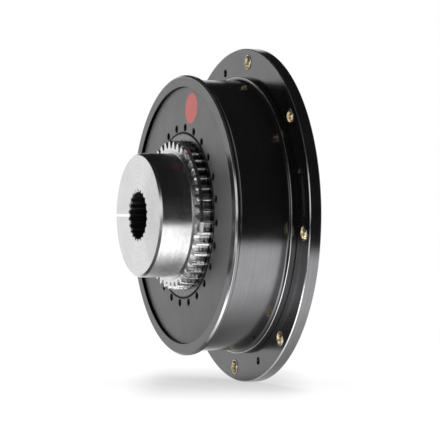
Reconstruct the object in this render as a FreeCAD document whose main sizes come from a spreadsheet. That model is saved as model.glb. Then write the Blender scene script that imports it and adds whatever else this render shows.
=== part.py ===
import FreeCAD, Part
import math
import os
import Sketcher

# Flexible flange coupling with a crowned gear hub, in millimetres and degrees.
# Every piece is drawn about its own Z axis: Z = 0 is the rear face of the flange, which
# goes against the flywheel, and Z grows towards the front of the hub. The finished pieces
# are turned so that this axis lies along -X, with +Z up.

SIZES = [
    # flange plate
    ("flange_diameter", 241.3, "flange plate, outside, for the flywheel recess"),
    ("flange_thickness", 8.9, "flange plate"),
    ("flange_edge_chamfer", 0.6, "both rims of the flange plate"),
    ("spigot_height", 3.0, "ring on the flange that centres the drum"),
    ("spigot_clearance", 0.05, "radial, spigot in drum bore"),
    ("spigot_wall", 5.95, "radial, from the spigot in to the clear hole of the flange"),
    # flywheel bolt holes and their bushes
    ("bolt_edge", 9.525, "middle of a flywheel bolt, in from the flange's rim"),
    ("bolt_land", 5.825, "radial, between the bushes and the foot collar of the drum"),
    ("bolt_count", 8, "flywheel bolts"),
    ("bolt_clock", -6.35, "first bolt, angle from the top"),
    ("bush_bore", 9.0, "bush, bore for the flywheel bolt"),
    ("bush_wall", 0.7, "bush, radial"),
    ("bush_stand", 0.5, "how far a bush stands out of the flange"),
    ("bush_chamfer", 0.2, "front edges of a bush"),
    # jacking holes
    ("jack_edge", 12.15, "middle of a jacking hole, in from the flange's rim"),
    ("jack_count", 4, "jacking holes"),
    ("jack_bore", 5.0, "core of the jacking thread"),
    # drum
    ("drum_wall", 9.5, "drum wall, radial"),
    ("drum_depth", 46.7, "drum, foot to front rim"),
    ("collar_ledge", 2.6, "foot collar of the drum, out from the wall"),
    ("collar_height", 4.8, "foot collar of the drum"),
    ("collar_fillet", 1.6, "foot collar to drum wall"),
    ("rim_ledge", 3.3, "front rim of the drum, out from the wall"),
    ("rim_width", 3.6, "front rim of the drum, along the axis"),
    ("rim_fillet", 2.2, "back of the front rim to drum wall"),
    ("rim_chamfer", 1.2, "front edge of the front rim"),
    ("edge_break", 0.5, "small broken edges of drum and rim"),
    ("recess_ledge", 4.5, "radial, front recess that the rubber ends in, out from the bore"),
    ("recess_depth", 2.25, "rubber edge below the front rim"),
    ("skin_thickness", 3.0, "rubber over the front of the drum wall"),
    # screws of the drum, on the middle of its wall
    ("screw_count", 12, "drum screws"),
    ("screw_diameter", 6.0, "drum screw, thread"),
    ("screw_head", 12.0, "drum screw, countersunk head"),
    ("screw_length", 16.0, "drum screw with its head"),
    ("screw_sink", 0.3, "head below the rear face"),
    ("screw_clearance", 0.3, "radial, screw in the flange"),
    ("screw_socket", 4.0, "drum screw, across the flats of the socket"),
    ("screw_socket_depth", 2.4, "drum screw"),
    ("tap_spare", 2.5, "threaded hole beyond the screw's end"),
    # rubber ring
    ("ring_rise", 1.75, "rubber front, from its edge up to its flat middle"),
    ("ring_land", 1.1, "flat middle of the rubber front, out from the small holes"),
    ("ring_rear_drum", 30.0, "rear of the rubber at the drum, above the rear face"),
    ("ring_rear_sleeve", 23.5, "rear of the rubber at the sleeve, above the rear face"),
    ("ring_rear_sweep", 60.0, "radius of the hollow rear face"),
    ("vent_margin", 3.8, "middle of a small hole, out from the sleeve"),
    ("vent_count", 24, "small holes"),
    ("vent_bore", 5.4, "small holes"),
    ("vent_clock", -4.7, "first small hole, angle from the top"),
    ("bond_gap", 0.3, "radial, rubber to sleeve"),
    # gear teeth, hub and sleeve
    ("gear_module", 2.5, "tooth module"),
    ("gear_teeth", 41, "number of teeth"),
    ("gear_angle", 20.0, "pressure angle"),
    ("gear_clock", -3.0, "first tooth space of the hub, angle from the top"),
    ("gear_addendum", 1.0, "hub tooth above the pitch circle, in modules"),
    ("gear_dedendum", 1.25, "tooth below the pitch circle, in modules"),
    ("sleeve_addendum", 0.86, "sleeve tooth inside the pitch circle, in modules"),
    ("flank_clearance", 0.18, "between flanks, each side"),
    ("flank_crown", 0.3, "flank falls away at the ends of a hub tooth"),
    ("tip_crown", 0.6, "tip falls away at the ends of a hub tooth"),
    ("tooth_chamfer", 0.4, "ends of the hub teeth"),
    # sleeve
    ("sleeve_wall", 5.025, "sleeve, radial, outside the tooth spaces"),
    ("sleeve_rear", 22.0, "rear face of the sleeve, above the rear face"),
    ("sleeve_chamfer", 0.7, "mouth of the sleeve"),
    # hub
    ("gear_rear", 36.0, "rear face of the gear ring, above the rear face"),
    ("gear_width", 28.8, "gear ring, along the axis"),
    ("boss_length", 24.7, "boss in front of the gear ring, along the axis"),
    ("boss_diameter", 88.9, "boss in front of the gear ring"),
    ("boss_chamfer", 1.6, "front edge of the boss"),
    ("boss_fillet", 1.0, "boss to gear ring"),
    ("shoulder_length", 2.0, "short shoulder behind the gear ring, along the axis"),
    ("shoulder_diameter", 84.0, "short shoulder behind the gear ring"),
    # splined bore
    ("spline_module", 1.5875, "spline module, 16/32 diametral pitch"),
    ("spline_teeth", 22, "spline teeth"),
    ("spline_angle", 30.0, "spline pressure angle"),
    ("spline_dedendum", 0.9, "spaces outside the pitch circle, in modules"),
    ("spline_addendum", 0.5, "teeth inside the pitch circle, in modules"),
    ("spline_clearance", 0.03, "between flanks, each side"),
    ("bore_chamfer", 0.6, "both ends of the bore, from the tips of the spline"),
    # clamp
    ("slot_width", 2.0, "clamping slot"),
    ("slot_length", 23.5, "clamping slot, from the front face"),
    ("clamp_wall", 2.6, "radial, between the screw's pocket and the spline"),
    ("clamp_seat", 12.0, "seat of the screw's head, from the slot's middle"),
    ("clamp_diameter", 10.0, "clamping screw, thread"),
    ("clamp_length", 35.0, "clamping screw, below its head"),
    ("clamp_head", 16.0, "clamping screw, head"),
    ("clamp_head_height", 10.0, "clamping screw, head"),
    ("clamp_head_chamfer", 0.8, "clamping screw, head"),
    ("clamp_socket", 8.0, "clamping screw, across the flats of the socket"),
    ("clamp_socket_depth", 5.0, "clamping screw"),
    ("clamp_pocket_clearance", 0.5, "radial, pocket round the head"),
    ("clamp_hole_clearance", 0.4, "radial, hole above the slot"),
]

# What follows from the sizes, in the sheet's own expressions.
FLANGE_FRONT = "Sizes.flange_thickness"
FLANGE_RADIUS = "(Sizes.flange_diameter / 2)"
BOLT_RADIUS = f"({FLANGE_RADIUS} - Sizes.bolt_edge)"
JACK_RADIUS = f"({FLANGE_RADIUS} - Sizes.jack_edge)"
BUSH_RADIUS = "(Sizes.bush_bore / 2 + Sizes.bush_wall)"
COLLAR_RADIUS = f"({BOLT_RADIUS} - {BUSH_RADIUS} - Sizes.bolt_land)"
DRUM_RADIUS = f"({COLLAR_RADIUS} - Sizes.collar_ledge)"
DRUM_BORE = f"({DRUM_RADIUS} - Sizes.drum_wall)"
RIM_RADIUS = f"({DRUM_RADIUS} + Sizes.rim_ledge)"
RECESS_RADIUS = f"({DRUM_BORE} + Sizes.recess_ledge)"
SCREW_RADIUS = f"({DRUM_BORE} + Sizes.drum_wall / 2)"
DRUM_FRONT = "(Sizes.flange_thickness + Sizes.drum_depth)"
RING_EDGE = f"({DRUM_FRONT} - Sizes.recess_depth)"
RING_FRONT = f"({RING_EDGE} + Sizes.ring_rise)"
GEAR_PITCH = "(Sizes.gear_module * Sizes.gear_teeth / 2)"
GEAR_QUARTER = "(90 / Sizes.gear_teeth)"
GEAR_MIDDLE = "(Sizes.gear_rear + Sizes.gear_width / 2)"
GEAR_FRONT = "(Sizes.gear_rear + Sizes.gear_width)"
HUB_FRONT = f"({GEAR_FRONT} + Sizes.boss_length)"
HUB_REAR = "(Sizes.gear_rear - Sizes.shoulder_length)"
HUB_TIP = f"({GEAR_PITCH} + Sizes.gear_addendum * Sizes.gear_module)"
HUB_TIP_END = f"({HUB_TIP} - Sizes.tip_crown)"
HUB_ROOT = f"({GEAR_PITCH} - Sizes.gear_dedendum * Sizes.gear_module)"
SLEEVE_TIP = f"({GEAR_PITCH} - Sizes.sleeve_addendum * Sizes.gear_module)"
SLEEVE_ROOT = f"({GEAR_PITCH} + Sizes.gear_dedendum * Sizes.gear_module)"
SLEEVE_RADIUS = f"({SLEEVE_ROOT} + Sizes.sleeve_wall)"
RING_BORE = f"({SLEEVE_RADIUS} + Sizes.bond_gap)"
VENT_RADIUS = f"({SLEEVE_RADIUS} + Sizes.vent_margin)"
RING_FLAT = f"({VENT_RADIUS} + Sizes.vent_bore / 2 + Sizes.ring_land)"
SPLINE_PITCH = "(Sizes.spline_module * Sizes.spline_teeth / 2)"
SPLINE_ROOT = f"({SPLINE_PITCH} + Sizes.spline_dedendum * Sizes.spline_module)"
SPLINE_TIP = f"({SPLINE_PITCH} - Sizes.spline_addendum * Sizes.spline_module)"
SPLINE_QUARTER = "(90 / Sizes.spline_teeth)"

TURNED = FreeCAD.Rotation(FreeCAD.Vector(0, 1, 0), -90)
OVERSHOOT = 1.0

doc = FreeCAD.newDocument("GearCoupling")
sheet = doc.addObject("Spreadsheet::Sheet", "Sizes")
for row, (alias, size, meaning) in enumerate(SIZES, start=1):
    sheet.set(f"A{row}", meaning)
    sheet.set(f"B{row}", str(size))
    sheet.setAlias(f"B{row}", alias)
doc.recompute()


def value(expression):
    """What an expression on the sheet comes to."""
    return float(sheet.evalExpression(expression))


def new_body(name):
    body = doc.addObject("PartDesign::Body", name)
    body.Label = name
    return body


def new_sketch(body, name, role, offset="0"):
    """An empty sketch on one of the body's own planes, moved along its normal."""
    sketch = body.newObject("Sketcher::SketchObject", name)
    plane = next(item for item in body.Origin.OriginFeatures if item.Role == role)
    sketch.AttachmentSupport = (plane, [""])
    sketch.MapMode = "FlatFace"
    if offset != "0":
        sketch.AttachmentOffset = FreeCAD.Placement(
            FreeCAD.Vector(0, 0, value(offset)), FreeCAD.Rotation())
        sketch.setExpression("AttachmentOffset.Base.z", offset)
    return sketch


def hold_point(sketch, edge, end, across, up):
    """Tie one end of an edge to the sheet, measured from the sketch's origin."""
    for kind, axis, expression in (("DistanceX", -2, across), ("DistanceY", -1, up)):
        if expression == "0":
            sketch.addConstraint(Sketcher.Constraint("PointOnObject", edge, end, axis))
            continue
        held = sketch.addConstraint(
            Sketcher.Constraint(kind, -1, 1, edge, end, value(expression)))
        sketch.setExpression(f"Constraints[{held}]", expression)


def draw_outline(sketch, corners):
    """Close an outline through corners, each (across, up) or (across, up, radius).

    A radius makes the edge that leaves its corner an arc: a positive one curves to the
    left of the way from this corner to the next, a negative one to the right.
    """
    edges = []
    for index, corner in enumerate(corners):
        following = corners[(index + 1) % len(corners)]
        start = FreeCAD.Vector(value(corner[0]), value(corner[1]), 0)
        stop = FreeCAD.Vector(value(following[0]), value(following[1]), 0)
        if len(corner) == 2:
            edge = sketch.addGeometry(Part.LineSegment(start, stop), False)
            edges.append((edge, 1, 2))
            continue
        radius = value(corner[2])
        chord = stop - start
        half = chord.Length / 2
        rise = abs(radius) - math.sqrt(radius * radius - half * half)
        sideways = FreeCAD.Vector(-chord.y, chord.x, 0).normalize()
        if radius < 0:
            sideways = sideways * -1
        middle = (start + stop) * 0.5 + sideways * rise
        edge = sketch.addGeometry(Part.Arc(start, middle, stop), False)
        held = sketch.addConstraint(Sketcher.Constraint("Radius", edge, abs(radius)))
        sketch.setExpression(f"Constraints[{held}]", f"abs({corner[2]})")
        forward = sketch.getPoint(edge, 1).sub(start).Length < 1e-6
        edges.append((edge, 1, 2) if forward else (edge, 2, 1))
    for index, (edge, first, last) in enumerate(edges):
        following = edges[(index + 1) % len(edges)]
        sketch.addConstraint(
            Sketcher.Constraint("Coincident", edge, last, following[0], following[1]))
        hold_point(sketch, edge, first, corners[index][0], corners[index][1])


def draw_circle(sketch, across, up, diameter):
    centre = FreeCAD.Vector(value(across), value(up), 0)
    normal = FreeCAD.Vector(0, 0, 1)
    edge = sketch.addGeometry(Part.Circle(centre, normal, value(diameter) / 2), False)
    hold_point(sketch, edge, 3, across, up)
    held = sketch.addConstraint(Sketcher.Constraint("Diameter", edge, value(diameter)))
    sketch.setExpression(f"Constraints[{held}]", diameter)


def draw_hexagon(sketch, across, up, flats):
    """A hexagon with two corners on the line across."""
    corners = []
    for corner in range(6):
        reach = f"({flats} / 2 / cos(30))"
        corners.append((f"({across} + {reach} * cos({60 * corner}))",
                        f"({up} + {reach} * sin({60 * corner}))"))
    draw_outline(sketch, corners)


def turn(body, name, corners):
    """A solid of revolution about the body's Z, from corners (radius, height)."""
    sketch = new_sketch(body, name + "_outline", "XZ_Plane")
    draw_outline(sketch, corners)
    solid = body.newObject("PartDesign::Revolution", name)
    solid.Profile = sketch
    solid.ReferenceAxis = (sketch, ["V_Axis"])
    solid.Angle = 360
    doc.recompute()
    return solid


def cut(body, name, sketch, depth=None, forward=True):
    """Cut a sketch along its normal, or against it, to a depth or right through."""
    before = body.Shape.Volume
    pocket = body.newObject("PartDesign::Pocket", name)
    pocket.Profile = sketch
    pocket.Reversed = forward
    if depth is None:
        pocket.Type = "ThroughAll"
    else:
        pocket.Type = "Length"
        pocket.Length = value(depth)
        pocket.setExpression("Length", depth)
    doc.recompute()
    check_cut(body, name, before)
    return pocket


def check_cut(body, name, before):
    if body.Shape.Volume >= before - 0.01:
        raise RuntimeError(f"{name} cuts nothing from {body.Label}")


def repeat(body, name, features, sketch, count):
    """Repeat features round the axis that is normal to a sketch."""
    pattern = body.newObject("PartDesign::PolarPattern", name)
    pattern.Originals = features
    pattern.Axis = (sketch, ["N_Axis"])
    pattern.Angle = 360
    pattern.Occurrences = int(value(count))
    pattern.setExpression("Occurrences", count)
    body.Tip = pattern
    doc.recompute()
    return pattern


def on_circle(radius, angle):
    """Where a pitch circle stands at an angle, as two expressions."""
    return f"({radius} * cos({angle}))", f"({radius} * sin({angle}))"


def draw_tooth_space(sketch, inner, outer, inner_half, outer_half, angle):
    """A straight-sided tooth space, symmetric about a ray at an angle."""
    corners = []
    for reach, half in ((inner, f"(-{inner_half})"), (outer, f"(-{outer_half})"),
                        (outer, outer_half), (inner, inner_half)):
        corners.append((f"({reach} * cos({angle}) - {half} * sin({angle}))",
                        f"({reach} * sin({angle}) + {half} * cos({angle}))"))
    draw_outline(sketch, corners)


def outer_space_half(radius, extra):
    """Half the width of a hub tooth space at a radius, with flanks set back by extra."""
    return (f"({GEAR_PITCH} * sin({GEAR_QUARTER}) + {extra}"
            f" + ({radius} - {GEAR_PITCH} * cos({GEAR_QUARTER}))"
            f" * tan(Sizes.gear_angle + {GEAR_QUARTER}))")


def inner_space_half(radius, pitch, quarter, angle, extra):
    """Half the width at a radius of the space that an outer tooth runs in."""
    return (f"({pitch} * sin({quarter}) + {extra}"
            f" - ({radius} - {pitch} * cos({quarter})) * tan({angle} - {quarter}))")


# Flange plate: turned disc with a centring spigot, drilled for the flywheel bolts,
# the jacking screws and, from behind, the countersunk drum screws.
flange_plate = new_body("flange_plate")
flange_edge = f"({FLANGE_RADIUS} - Sizes.flange_edge_chamfer)"
spigot_radius = f"({DRUM_BORE} - Sizes.spigot_clearance)"
flange_bore = f"({spigot_radius} - Sizes.spigot_wall)"
turn(flange_plate, "flange_disc", [
    (flange_bore, "0"),
    (flange_edge, "0"),
    (FLANGE_RADIUS, "Sizes.flange_edge_chamfer"),
    (FLANGE_RADIUS, f"({FLANGE_FRONT} - Sizes.flange_edge_chamfer)"),
    (flange_edge, FLANGE_FRONT),
    (spigot_radius, FLANGE_FRONT),
    (spigot_radius, f"({FLANGE_FRONT} + Sizes.spigot_height - Sizes.edge_break)"),
    (f"({spigot_radius} - Sizes.edge_break)", f"({FLANGE_FRONT} + Sizes.spigot_height)"),
    (flange_bore, f"({FLANGE_FRONT} + Sizes.spigot_height)"),
])
bolt_sketch = new_sketch(flange_plate, "bolt_hole_outline", "XY_Plane")
draw_circle(bolt_sketch, *on_circle(BOLT_RADIUS, "Sizes.bolt_clock"),
            f"(2 * {BUSH_RADIUS})")
bolt_hole = cut(flange_plate, "bolt_hole", bolt_sketch)
repeat(flange_plate, "bolt_holes", [bolt_hole], bolt_sketch, "Sizes.bolt_count")
jack_sketch = new_sketch(flange_plate, "jack_hole_outline", "XY_Plane")
jack_clock = "(Sizes.bolt_clock + 180 / Sizes.bolt_count)"
draw_circle(jack_sketch, *on_circle(JACK_RADIUS, jack_clock), "Sizes.jack_bore")
jack_hole = cut(flange_plate, "jack_hole", jack_sketch)
repeat(flange_plate, "jack_holes", [jack_hole], jack_sketch, "Sizes.jack_count")

screw_hole = f"({SCREW_RADIUS} + Sizes.screw_diameter / 2 + Sizes.screw_clearance)"
sink_radius = f"({SCREW_RADIUS} + Sizes.screw_head / 2 + Sizes.screw_sink)"
sink_sketch = new_sketch(flange_plate, "screw_hole_outline", "XZ_Plane")
axis_line = sink_sketch.addGeometry(Part.LineSegment(
    FreeCAD.Vector(value(SCREW_RADIUS), -OVERSHOOT, 0),
    FreeCAD.Vector(value(SCREW_RADIUS), value(FLANGE_FRONT), 0)), True)
hold_point(sink_sketch, axis_line, 1, SCREW_RADIUS, f"(0 - {OVERSHOOT})")
hold_point(sink_sketch, axis_line, 2, SCREW_RADIUS, FLANGE_FRONT)
draw_outline(sink_sketch, [
    (SCREW_RADIUS, f"(0 - {OVERSHOOT})"),
    (f"({sink_radius} + {OVERSHOOT})", f"(0 - {OVERSHOOT})"),
    (screw_hole, f"({sink_radius} - {screw_hole})"),
    (screw_hole, f"({FLANGE_FRONT} + {OVERSHOOT})"),
    (SCREW_RADIUS, f"({FLANGE_FRONT} + {OVERSHOOT})"),
])
volume_before = flange_plate.Shape.Volume
sink = flange_plate.newObject("PartDesign::Groove", "screw_hole")
sink.Profile = sink_sketch
sink.ReferenceAxis = (sink_sketch, ["Axis0"])
sink.Angle = 360
doc.recompute()
check_cut(flange_plate, "screw_hole", volume_before)
repeat(flange_plate, "screw_holes", [sink], bolt_sketch, "Sizes.screw_count")

# Drum: cast ring, turned all over, with a foot collar, a front rim and a recess
# in front that the rubber runs out into.
drum = new_body("drum")
collar_top = f"({FLANGE_FRONT} + Sizes.collar_height)"
rim_back = f"({DRUM_FRONT} - Sizes.rim_width)"
recess_floor = f"({RING_EDGE} - Sizes.skin_thickness)"
turn(drum, "drum_ring", [
    (DRUM_BORE, FLANGE_FRONT),
    (f"({COLLAR_RADIUS} - Sizes.edge_break)", FLANGE_FRONT),
    (COLLAR_RADIUS, f"({FLANGE_FRONT} + Sizes.edge_break)"),
    (COLLAR_RADIUS, f"({collar_top} - Sizes.edge_break)"),
    (f"({COLLAR_RADIUS} - Sizes.edge_break)", collar_top),
    (f"({DRUM_RADIUS} + Sizes.collar_fillet)", collar_top, "Sizes.collar_fillet"),
    (DRUM_RADIUS, f"({collar_top} + Sizes.collar_fillet)"),
    (DRUM_RADIUS, f"({rim_back} - Sizes.rim_fillet)", "Sizes.rim_fillet"),
    (f"({DRUM_RADIUS} + Sizes.rim_fillet)", rim_back),
    (f"({RIM_RADIUS} - Sizes.edge_break)", rim_back),
    (RIM_RADIUS, f"({rim_back} + Sizes.edge_break)"),
    (RIM_RADIUS, f"({DRUM_FRONT} - Sizes.rim_chamfer)"),
    (f"({RIM_RADIUS} - Sizes.rim_chamfer)", DRUM_FRONT),
    (RECESS_RADIUS, DRUM_FRONT),
    (RECESS_RADIUS, recess_floor),
    (DRUM_BORE, recess_floor),
])
tap_sketch = new_sketch(drum, "screw_tap_outline", "XY_Plane", FLANGE_FRONT)
draw_circle(tap_sketch, SCREW_RADIUS, "0", "Sizes.screw_diameter")
tap_depth = f"(Sizes.screw_sink + Sizes.screw_length - {FLANGE_FRONT} + Sizes.tap_spare)"
tap = cut(drum, "screw_tap", tap_sketch, tap_depth)
repeat(drum, "screw_taps", [tap], tap_sketch, "Sizes.screw_count")

# Drum screws: countersunk, with a hexagon socket in the head, flush behind the flange.
drum_screws = new_body("drum_screws")
screw_edge = f"({SCREW_RADIUS} + Sizes.screw_diameter / 2)"
head_edge = f"({SCREW_RADIUS} + Sizes.screw_head / 2)"
screw_tip = "(Sizes.screw_sink + Sizes.screw_length)"
screw_sketch = new_sketch(drum_screws, "screw_outline", "XZ_Plane")
axis_line = screw_sketch.addGeometry(Part.LineSegment(
    FreeCAD.Vector(value(SCREW_RADIUS), value("Sizes.screw_sink"), 0),
    FreeCAD.Vector(value(SCREW_RADIUS), value(screw_tip), 0)), True)
hold_point(screw_sketch, axis_line, 1, SCREW_RADIUS, "Sizes.screw_sink")
hold_point(screw_sketch, axis_line, 2, SCREW_RADIUS, screw_tip)
draw_outline(screw_sketch, [
    (SCREW_RADIUS, "Sizes.screw_sink"),
    (head_edge, "Sizes.screw_sink"),
    (screw_edge, f"(Sizes.screw_sink + {head_edge} - {screw_edge})"),
    (screw_edge, f"({screw_tip} - Sizes.edge_break)"),
    (f"({screw_edge} - Sizes.edge_break)", screw_tip),
    (SCREW_RADIUS, screw_tip),
])
screw = drum_screws.newObject("PartDesign::Revolution", "screw")
screw.Profile = screw_sketch
screw.ReferenceAxis = (screw_sketch, ["Axis0"])
screw.Angle = 360
doc.recompute()
socket_sketch = new_sketch(drum_screws, "socket_outline", "XY_Plane", "Sizes.screw_sink")
draw_hexagon(socket_sketch, SCREW_RADIUS, "0", "Sizes.screw_socket")
socket = cut(drum_screws, "socket", socket_sketch, "Sizes.screw_socket_depth")
repeat(drum_screws, "screws", [screw, socket], socket_sketch, "Sizes.screw_count")

# Flange bushes: yellow sleeves pressed into the bolt holes, a little proud in front.
bushes = []
for number in range(int(value("Sizes.bolt_count"))):
    bush = new_body(f"flange_bush_{number + 1}")
    bush_top = f"({FLANGE_FRONT} + Sizes.bush_stand)"
    turn(bush, f"bush_sleeve_{number + 1}", [
        ("Sizes.bush_bore / 2", "0"),
        (BUSH_RADIUS, "0"),
        (BUSH_RADIUS, f"({bush_top} - Sizes.bush_chamfer)"),
        (f"({BUSH_RADIUS} - Sizes.bush_chamfer)", bush_top),
        ("(Sizes.bush_bore / 2 + Sizes.bush_chamfer)", bush_top),
        ("Sizes.bush_bore / 2", f"({bush_top} - Sizes.bush_chamfer)"),
    ])
    angle = f"(Sizes.bolt_clock + 360 / Sizes.bolt_count * {number})"
    up, across = on_circle(BOLT_RADIUS, angle)
    bush.Placement = FreeCAD.Placement(
        FreeCAD.Vector(0, value(across), value(up)), TURNED)
    bush.setExpression("Placement.Base.y", across)
    bush.setExpression("Placement.Base.z", up)
    bushes.append(bush)

# Rubber ring: moulded and bonded between drum and sleeve, thickest at the sleeve,
# with a ring of small holes beside the bond.
rubber_ring = new_body("rubber_ring")
turn(rubber_ring, "ring", [
    (RING_BORE, "Sizes.ring_rear_sleeve", "Sizes.ring_rear_sweep"),
    (DRUM_BORE, "Sizes.ring_rear_drum"),
    (DRUM_BORE, recess_floor),
    (RECESS_RADIUS, recess_floor),
    (RECESS_RADIUS, RING_EDGE),
    (RING_FLAT, RING_FRONT),
    (RING_BORE, RING_FRONT),
])
vent_sketch = new_sketch(rubber_ring, "vent_outline", "XY_Plane")
draw_circle(vent_sketch, *on_circle(VENT_RADIUS, "Sizes.vent_clock"), "Sizes.vent_bore")
vent = cut(rubber_ring, "vent", vent_sketch)
repeat(rubber_ring, "vents", [vent], vent_sketch, "Sizes.vent_count")

# Toothed sleeve: ring with straight inner teeth that the hub's crowned teeth run in.
toothed_sleeve = new_body("toothed_sleeve")
turn(toothed_sleeve, "sleeve_ring", [
    (f"({SLEEVE_TIP} + Sizes.sleeve_chamfer)", "Sizes.sleeve_rear"),
    (f"({SLEEVE_RADIUS} - Sizes.edge_break)", "Sizes.sleeve_rear"),
    (SLEEVE_RADIUS, "(Sizes.sleeve_rear + Sizes.edge_break)"),
    (SLEEVE_RADIUS, f"({RING_FRONT} - Sizes.edge_break)"),
    (f"({SLEEVE_RADIUS} - Sizes.edge_break)", RING_FRONT),
    (f"({SLEEVE_TIP} + Sizes.sleeve_chamfer)", RING_FRONT),
    (SLEEVE_TIP, f"({RING_FRONT} - Sizes.sleeve_chamfer)"),
    (SLEEVE_TIP, "(Sizes.sleeve_rear + Sizes.sleeve_chamfer)"),
])
space_sketch = new_sketch(toothed_sleeve, "sleeve_space_outline", "XY_Plane")
space_start = f"({SLEEVE_TIP} - {OVERSHOOT})"
draw_tooth_space(
    space_sketch, space_start, SLEEVE_ROOT,
    inner_space_half(space_start, GEAR_PITCH, GEAR_QUARTER, "Sizes.gear_angle",
                     "Sizes.flank_clearance"),
    inner_space_half(SLEEVE_ROOT, GEAR_PITCH, GEAR_QUARTER, "Sizes.gear_angle",
                     "Sizes.flank_clearance"),
    f"(Sizes.gear_clock + 2 * {GEAR_QUARTER})")
sleeve_space = cut(toothed_sleeve, "sleeve_space", space_sketch)
repeat(toothed_sleeve, "sleeve_spaces", [sleeve_space], space_sketch, "Sizes.gear_teeth")

# Hub: turned from one bar, with a gear ring whose teeth are crowned on their tips and
# flanks, a splined bore, and a slot with a screw that clamps the boss on its shaft.
hub = new_body("hub")
crown_half = "(Sizes.gear_width / 2 - Sizes.tooth_chamfer)"
crown_radius = (f"(({crown_half} * {crown_half} + Sizes.tip_crown * Sizes.tip_crown)"
                " / (2 * Sizes.tip_crown))")
bore_mouth = f"({SPLINE_TIP} + Sizes.bore_chamfer)"
turn(hub, "hub_bar", [
    (bore_mouth, HUB_REAR),
    ("(Sizes.shoulder_diameter / 2 - Sizes.edge_break)", HUB_REAR),
    ("Sizes.shoulder_diameter / 2", f"({HUB_REAR} + Sizes.edge_break)"),
    ("Sizes.shoulder_diameter / 2", "Sizes.gear_rear"),
    (f"({HUB_TIP_END} - Sizes.tooth_chamfer)", "Sizes.gear_rear"),
    (HUB_TIP_END, "(Sizes.gear_rear + Sizes.tooth_chamfer)", f"(0 - {crown_radius})"),
    (HUB_TIP_END, f"({GEAR_FRONT} - Sizes.tooth_chamfer)"),
    (f"({HUB_TIP_END} - Sizes.tooth_chamfer)", GEAR_FRONT),
    ("(Sizes.boss_diameter / 2 + Sizes.boss_fillet)", GEAR_FRONT, "Sizes.boss_fillet"),
    ("Sizes.boss_diameter / 2", f"({GEAR_FRONT} + Sizes.boss_fillet)"),
    ("Sizes.boss_diameter / 2", f"({HUB_FRONT} - Sizes.boss_chamfer)"),
    ("(Sizes.boss_diameter / 2 - Sizes.boss_chamfer)", HUB_FRONT),
    (bore_mouth, HUB_FRONT),
    (SPLINE_TIP, f"({HUB_FRONT} - Sizes.bore_chamfer)"),
    (SPLINE_TIP, f"({HUB_REAR} + Sizes.bore_chamfer)"),
])
gap_sketches = []
gap_end = f"({HUB_TIP} + {OVERSHOOT})"
for name, height, setback in (
        ("rear", f"(Sizes.gear_rear - {OVERSHOOT} / 2)", "Sizes.flank_crown"),
        ("middle", GEAR_MIDDLE, "0"),
        ("front", f"({GEAR_FRONT} + {OVERSHOOT} / 2)", "Sizes.flank_crown")):
    gap_sketch = new_sketch(hub, f"tooth_space_{name}", "XY_Plane", height)
    draw_tooth_space(gap_sketch, HUB_ROOT, gap_end,
                     outer_space_half(HUB_ROOT, setback),
                     outer_space_half(gap_end, setback), "Sizes.gear_clock")
    gap_sketches.append(gap_sketch)
doc.recompute()
volume_before = hub.Shape.Volume
tooth_space = hub.newObject("PartDesign::SubtractiveLoft", "tooth_space")
tooth_space.Profile = gap_sketches[0]
tooth_space.Sections = gap_sketches[1:]
tooth_space.Ruled = False
doc.recompute()
check_cut(hub, "tooth_space", volume_before)
repeat(hub, "tooth_spaces", [tooth_space], gap_sketches[0], "Sizes.gear_teeth")

spline_sketch = new_sketch(hub, "spline_space_outline", "XY_Plane")
spline_start = f"({SPLINE_TIP} - {OVERSHOOT})"
draw_tooth_space(
    spline_sketch, spline_start, SPLINE_ROOT,
    inner_space_half(spline_start, SPLINE_PITCH, SPLINE_QUARTER, "Sizes.spline_angle",
                     "Sizes.spline_clearance"),
    inner_space_half(SPLINE_ROOT, SPLINE_PITCH, SPLINE_QUARTER, "Sizes.spline_angle",
                     "Sizes.spline_clearance"), "0")
spline_space = cut(hub, "spline_space", spline_sketch)
repeat(hub, "spline_spaces", [spline_space], spline_sketch, "Sizes.spline_teeth")

slot_end = f"({HUB_FRONT} - Sizes.slot_length)"
slot_sketch = new_sketch(hub, "clamp_slot_outline", "XY_Plane", slot_end)
slot_start = f"({SPLINE_TIP} - {OVERSHOOT})"
slot_reach = f"(Sizes.boss_diameter / 2 + {OVERSHOOT})"
draw_outline(slot_sketch, [
    ("(0 - Sizes.slot_width / 2)", slot_start),
    ("(Sizes.slot_width / 2)", slot_start),
    ("(Sizes.slot_width / 2)", slot_reach),
    ("(0 - Sizes.slot_width / 2)", slot_reach),
])
cut(hub, "clamp_slot", slot_sketch)
pocket_radius = "(Sizes.clamp_head / 2 + Sizes.clamp_pocket_clearance)"
clamp_offset = f"({SPLINE_ROOT} + Sizes.clamp_wall + {pocket_radius})"
clamp_station = f"({HUB_FRONT} - Sizes.slot_length / 2)"
pocket_sketch = new_sketch(hub, "screw_pocket_outline", "YZ_Plane", "Sizes.clamp_seat")
draw_circle(pocket_sketch, clamp_offset, clamp_station, f"(2 * {pocket_radius})")
cut(hub, "screw_pocket", pocket_sketch)
clear_sketch = new_sketch(hub, "screw_clear_outline", "YZ_Plane", "Sizes.clamp_seat")
draw_circle(clear_sketch, clamp_offset, clamp_station,
            "(Sizes.clamp_diameter + 2 * Sizes.clamp_hole_clearance)")
cut(hub, "screw_clear_hole", clear_sketch, "Sizes.clamp_seat", forward=False)
thread_sketch = new_sketch(hub, "screw_thread_outline", "YZ_Plane")
draw_circle(thread_sketch, clamp_offset, clamp_station, "Sizes.clamp_diameter")
cut(hub, "screw_thread_hole", thread_sketch,
    "(Sizes.clamp_length - Sizes.clamp_seat + Sizes.tap_spare)", forward=False)

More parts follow.
